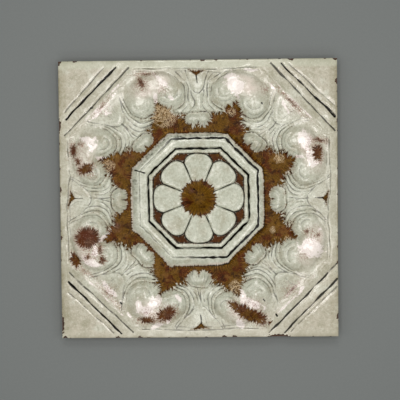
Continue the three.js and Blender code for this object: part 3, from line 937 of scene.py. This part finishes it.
def read_patterns(n):
    """The masks carved with the face, and the patterns that several finishes share."""
    look = SimpleNamespace(**{name: n.attribute(name) for name in MASKS})
    look.place = n.add("ShaderNodeTexCoord").outputs["Object"]
    look.x, look.y, look.z = n.split(look.place)
    root = n.add("ShaderNodeCombineXYZ")
    n.feed(root.inputs[0], look.root_x)
    n.feed(root.inputs[1], look.root_y)
    look.hair = n.noise(root.outputs[0], 0.9, 3.0, 0.7)
    look.fine_hair = n.noise(root.outputs[0], 1.9, 2.0, 0.6)
    look.grit = n.noise(look.place, 1600, 2.0)
    look.cloud = n.noise(look.place, 130, 3.0)
    distance = n.add("ShaderNodeVectorMath", operation="LENGTH")
    n.feed(distance.inputs[0], look.place)
    look.from_centre = distance.outputs["Value"]

    coarse_reach = n.ramp(look.tint, 0.0, 1.0, 8.0, 4.0)
    fine_reach = n.ramp(look.tint, 0.0, 1.0, 5.0, 8.0)
    coarse_pull = n.math("MULTIPLY", n.math("SUBTRACT", look.hair, 0.52), coarse_reach)
    fine_pull = n.math("MULTIPLY", n.math("SUBTRACT", look.fine_hair, 0.5), fine_reach)
    pull = n.math("ADD", coarse_pull, fine_pull)
    pull = n.math("MULTIPLY_ADD", look.grit, 0.6, n.math("SUBTRACT", pull, 0.3))
    look.frayed = n.math("MULTIPLY_ADD", pull, look.fray, look.edge)
    cream_from = n.ramp(look.tint, 0.0, 1.0, 0.2, 0.6)
    brown_from = n.ramp(look.tint, 0.0, 1.0, -0.25, -0.8)
    look.brown_share = n.ramp(look.frayed, cream_from, brown_from)
    return look


def brown_glaze(n, look):
    """Olive and rusty brown in the hollows, purplish where the glaze has worn, with straw veins."""
    inner = n.ramp(look.from_centre, 0.029, 0.026, 0.0, 0.75)
    spandrel = n.math("MULTIPLY", n.ramp(look.from_centre, 0.017, 0.02), inner)
    strand = n.ramp(look.fine_hair, 0.35, 0.65)
    olive = n.mix(strand, OLIVE_DARK, OLIVE)
    rust = n.mix(strand, RUST_DARK, RUST)
    brown = n.mix(n.math("MAXIMUM", spandrel, n.ramp(look.cloud, 0.46, 0.6)), olive, rust)
    brown = n.mix(n.ramp(n.noise(look.place, 300, 3.0, 0.6), 0.52, 0.64, 0.0, 0.8), brown, UMBER)
    haze = n.ramp(n.noise(look.place, 170, 3.0, 0.65), 0.5, 0.66, 0.0, 0.5)
    brown = n.mix(n.math("MULTIPLY", haze, n.ramp(look.from_centre, 0.038, 0.046)), brown, GOLDEN_HAZE)
    brown = n.mix(n.ramp(look.grit, 0.55, 0.7, 0.0, 0.6), brown, BROWN_GRIT_DARK)
    brown = n.mix(n.ramp(look.grit, 0.42, 0.3, 0.0, 0.35), brown, BROWN_GRIT_PALE)
    near_rim = n.ramp(look.frayed, -2.4, -0.8, 0.0, 0.5)
    streak = n.math("MULTIPLY", n.ramp(look.fine_hair, 0.5, 0.66), near_rim)
    brown = n.mix(streak, brown, BROWN_STREAK)
    brown = n.mix(n.ramp(look.frayed, -0.9, -0.1, 0.0, 0.6), brown, BROWN_RIM)
    spandrel_brown = n.mix(n.ramp(look.cloud, 0.4, 0.6), SPANDREL_RED, SPANDREL_DARK)
    brown = n.mix(n.math("MULTIPLY", spandrel, 0.8), brown, spandrel_brown)

    purple = n.mix(strand, PURPLE_DARK, PURPLE_PALE)
    purple = n.mix(n.ramp(n.noise(look.place, 240, 2.0), 0.42, 0.6), purple, PURPLE_RED)
    purple = n.mix(n.ramp(n.noise(look.place, 900, 3.0, 0.7), 0.5, 0.66, 0.0, 0.7), purple, PURPLE_DUST)
    dark_glaze = n.mix(look.tint, brown, purple)

    off_vein = n.math("ABSOLUTE", n.math("SUBTRACT", n.noise(look.place, 560, 3.0, 0.7), 0.5))
    vein = n.math("MAXIMUM", n.ramp(off_vein, 0.05, 0.01), n.ramp(look.fine_hair, 0.53, 0.59))
    vein_share = n.ramp(n.math("MULTIPLY", vein, look.veins), 0.3, 0.5, 0.0, 0.85)
    return n.mix(vein_share, dark_glaze, STRAW_VEIN)


def cream_glaze(n, look):
    """Speckled cream with painted highlights, reddish down, grey streaks with painted shade on the frame's
    slope, and an olive edge band.
    """
    outer = n.ramp(look.from_centre, 0.055, 0.095)
    cream = n.mix(outer, CREAM, CREAM_OUTER)
    broad = n.ramp(n.noise(look.place, 38, 2.0), 0.35, 0.65, 0.0, 0.5)
    cream = n.mix(n.math("MULTIPLY", broad, outer), cream, CREAM_WARM)
    cream = n.mix(n.ramp(look.cloud, 0.48, 0.7, 0.0, 0.7), cream, CREAM_SHADE)
    cream = n.mix(n.ramp(look.cloud, 0.46, 0.3, 0.0, 0.6), cream, CREAM_LIGHT)
    cream = n.mix(n.ramp(look.grit, 0.52, 0.7, 0.0, 0.45), cream, CREAM_GRIT_DARK)
    cream = n.mix(n.ramp(look.grit, 0.46, 0.3, 0.0, 0.35), cream, CREAM_GRIT_PALE)
    mottle = n.noise(look.place, 650, 2.0)
    cream = n.mix(n.ramp(mottle, 0.53, 0.68, 0.0, 0.4), cream, MOTTLE_DARK)
    cream = n.mix(n.ramp(mottle, 0.45, 0.3, 0.0, 0.4), cream, MOTTLE_PALE)
    # Painted highlight: pinkish white on the crowns, partly the paler glaze on the high parts
    crown_highlight_share = n.math("MULTIPLY", look.crown, n.ramp(look.cloud, 0.3, 0.6, 0.8, 0.25))
    cream = n.mix(crown_highlight_share, cream, CROWN_HIGHLIGHT_PINK)

    # Painted highlight: near white where the mask says, broken up by noise
    highlight_spread = n.math("MULTIPLY_ADD", n.noise(look.place, 220, 2.0), 1.8, n.math("SUBTRACT", look.thin, 0.9))
    flecks = n.noise(look.place, 600, 3.0, 0.75)
    highlight_spread = n.math("MULTIPLY_ADD", flecks, 2.0, n.math("SUBTRACT", highlight_spread, 0.95))
    painted_highlight_share = n.math("MULTIPLY", n.ramp(highlight_spread, 0.4, 0.7, 0.0, 0.9), n.ramp(look.thin, 0.02, 0.25))
    cream = n.mix(painted_highlight_share, cream, PAINTED_HIGHLIGHT_WHITE)
    down = n.ramp(n.noise(look.place, 1300, 3.0, 0.8), 0.47, 0.6)
    cream = n.mix(n.math("MULTIPLY", n.math("MULTIPLY", down, look.flush), 0.85), cream, DOWN_RED)

    # Painted shade: grey strokes and dashes on the frame's sloping outside, partly grey streaks in the
    # glaze
    patch = n.noise(look.place, 330, 4.0, 0.7)
    shade_stroke = n.math("ADD", n.ramp(look.hair, 0.35, 0.65, 0.0, 0.3), n.ramp(patch, 0.35, 0.7, 0.0, 0.8))
    cream = n.mix(n.math("MULTIPLY", look.bevel, shade_stroke), cream, BEVEL_SHADE_GREY)
    shade_dashes = n.math("MULTIPLY", n.ramp(patch, 0.54, 0.66), n.ramp(look.bevel, 0.4, 0.8, 0.0, 0.7))
    cream = n.mix(shade_dashes, cream, BEVEL_SHADE_DASH)

    aside, along, _ = n.split(n.math_vector("ABSOLUTE", look.place))
    # Olive, darker in clouds, over a band along the outer edge
    at_edge = n.ramp(n.math("MAXIMUM", aside, along), 0.0735, 0.0762)
    edge_olive_share = n.math("MULTIPLY", at_edge, n.ramp(look.cloud, 0.3, 0.6, 0.1, 0.5))
    cream = n.mix(edge_olive_share, cream, EDGE_OLIVE)
    # Painted light and shade: the side borders darker, the top and bottom borders lighter
    cream = n.mix(n.ramp(aside, BORDER_FROM, BORDER_FULL, 0.0, 0.22), cream, SIDE_BORDER_SHADE)
    cream = n.mix(n.ramp(look.y, BORDER_FROM, BORDER_FULL, 0.0, 0.4), cream, TOP_BORDER_LIGHT)
    cream = n.mix(n.ramp(look.y, -BORDER_FROM, -BORDER_FULL, 0.0, 0.3), cream, BOTTOM_BORDER_LIGHT)
    return n.mix(n.ramp(look.frayed, 0.9, 0.1, 0.0, 0.3), cream, FRINGE)


def drawn_line_share(n, look):
    """How much of the black line shows: it thins and fades along its length."""
    along = n.noise(look.place, 210, 2.0)
    thickness = n.ramp(along, 0.3, 0.7, -0.1, 0.18)
    share = n.math("MULTIPLY", n.ramp(n.math("SUBTRACT", look.gap, thickness), 0.24, -0.1), look.tone)
    return n.math("MULTIPLY", share, n.ramp(along, 0.3, 0.42, 0.8, 1.0))


def bare_clay(n, look, unglazed):
    """Red clay in the chips, buff clay below the glaze."""
    clay = n.mix(look.cloud, RED_CLAY_DARK, RED_CLAY)
    clay = n.mix(n.ramp(look.grit, 0.55, 0.7, 0.0, 0.6), clay, RED_CLAY_GRIT)
    clay = n.mix(unglazed, clay, n.mix(look.cloud, BUFF_CLAY, BUFF_CLAY_PALE))
    return n.mix(n.ramp(look.grit, 0.5, 0.68, 0.0, 0.4), clay, BUFF_CLAY_GRIT)


def glaze_material():
    material = bpy.data.materials.new("cream_and_brown_glaze")
    material.use_nodes = True
    n = Nodes(material.node_tree)
    shader = material.node_tree.nodes["Principled BSDF"]
    look = read_patterns(n)
    colour = n.mix(look.brown_share, cream_glaze(n, look), brown_glaze(n, look))
    line_share = drawn_line_share(n, look)
    colour = n.mix(line_share, colour, LINE_BLACK)
    runs = n.math("MULTIPLY_ADD", n.noise(look.place, 90, 3.0, 0.6), 0.006, look.z)
    unglazed = n.ramp(runs, (GLAZED_TO + 2.4) * MM, (GLAZED_TO + 1.9) * MM)
    chipped = n.ramp(n.math("MULTIPLY_ADD", look.grit, 0.6, n.math("SUBTRACT", look.bare, 0.3)), 0.4, 0.6)
    bare_share = n.math("MAXIMUM", chipped, unglazed)
    n.feed(shader.inputs["Base Color"], n.mix(bare_share, colour, bare_clay(n, look, unglazed)))

    dull_share = n.math("MAXIMUM", look.brown_share, n.math("MULTIPLY", line_share, 0.8))
    n.feed(shader.inputs["Specular IOR Level"], n.ramp(dull_share, 0.0, 1.0, 0.5, 0.06))
    roughness = n.ramp(look.brown_share, 0.0, 1.0, 0.17, 0.4)
    n.feed(shader.inputs["Roughness"], n.ramp(bare_share, 0.0, 1.0, roughness, 0.85))
    shader.inputs["IOR"].default_value = 1.52

    ripple = n.noise(look.place, 420, 2.0)
    relief = n.math("MULTIPLY_ADD", n.math("MULTIPLY", look.grit, bare_share), 3.0, ripple)
    relief = n.math("MULTIPLY_ADD", n.math("MULTIPLY", look.fine_hair, look.brown_share), 0.8, relief)
    bump = n.add("ShaderNodeBump")
    bump.inputs["Strength"].default_value = 0.35
    bump.inputs["Distance"].default_value = 0.0002
    n.feed(bump.inputs["Height"], relief)
    n.feed(shader.inputs["Normal"], bump.outputs[0])
    return material


def paper_material():
    material = bpy.data.materials.new("pale_paper")
    material.use_nodes = True
    n = Nodes(material.node_tree)
    shader = material.node_tree.nodes["Principled BSDF"]
    fibre = n.noise(n.add("ShaderNodeTexCoord").outputs["Object"], 900, 2.0)
    n.feed(shader.inputs["Base Color"], n.mix(fibre, PAPER_DARK, PAPER_PALE))
    shader.inputs["Roughness"].default_value = 0.9
    shader.inputs["Specular IOR Level"].default_value = 0.2
    return material


# Camera, floor and lights

def add_camera():
    """Almost straight above the face, turned a touch, as in the photograph."""
    data = bpy.data.cameras.new("camera")
    data.sensor_fit = "HORIZONTAL"
    data.sensor_width = 36
    data.lens = CAMERA_LENS
    camera = bpy.data.objects.new("camera", data)
    place = Vector(CAMERA_PLACE) * MM
    forward = (Vector(CAMERA_AIM) * MM - place).normalized()
    right = forward.cross(Vector((0, 1, 0))).normalized()
    up = right.cross(forward)
    c, s = math.cos(CAMERA_ROLL), math.sin(CAMERA_ROLL)
    right, up = right * c + up * s, up * c - right * s
    turn = Matrix((right, up, -forward)).transposed().to_4x4()
    camera.matrix_world = Matrix.Translation(place) @ turn
    bpy.context.scene.collection.objects.link(camera)
    bpy.context.scene.camera = camera


def add_light(name, place, size, power, colour):
    """A soft rectangle of light that looks at the tile's centre."""
    data = bpy.data.lights.new(name, "AREA")
    data.shape = "RECTANGLE"
    data.size, data.size_y = size
    data.energy = power
    data.color = colour
    light = bpy.data.objects.new(name, data)
    light.location = place
    light.rotation_euler = (Vector((0, 0, 0)) - Vector(place)).to_track_quat("-Z", "Y").to_euler()
    bpy.context.scene.collection.objects.link(light)


def add_floor():
    mesh = bpy.data.meshes.new("floor")
    corners = [(-1, -1), (1, -1), (1, 1), (-1, 1)]
    mesh.from_pydata([(x * FLOOR_REACH, y * FLOOR_REACH, 0) for x, y in corners], [], [(0, 1, 2, 3)])
    floor = bpy.data.objects.new("floor", mesh)
    floor.location.z = cad_low.z - FLOOR_GAP
    bpy.context.scene.collection.objects.link(floor)
    mesh.materials.append(paper_material())


def add_lights():
    world = bpy.data.worlds.new("studio")
    world.use_nodes = True
    world.node_tree.nodes["Background"].inputs["Color"].default_value = (0.98, 1.0, 0.97, 1.0)
    world.node_tree.nodes["Background"].inputs["Strength"].default_value = 0.28
    bpy.context.scene.world = world
    for name, x, y, power in WINDOWS:
        size = (0.15, 0.11) if y else (0.11, 0.15)
        add_light(name, (WINDOW_OUT * x, WINDOW_OUT * y, LIGHT_HEIGHT), size, power, WINDOW_COLOUR)
    for name, x, y in LAMPS:
        add_light(name, (LAMP_OUT * x, LAMP_OUT * y, LIGHT_HEIGHT), (0.06, 0.06), LAMP_POWER, LAMP_COLOUR)


scene = bpy.context.scene
scene.view_settings.view_transform = "Standard"
add_camera()
add_floor()
add_lights()
tile = build_tile()
tile.data.materials.append(glaze_material())
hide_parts("relief_tile")
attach(tile, "root")
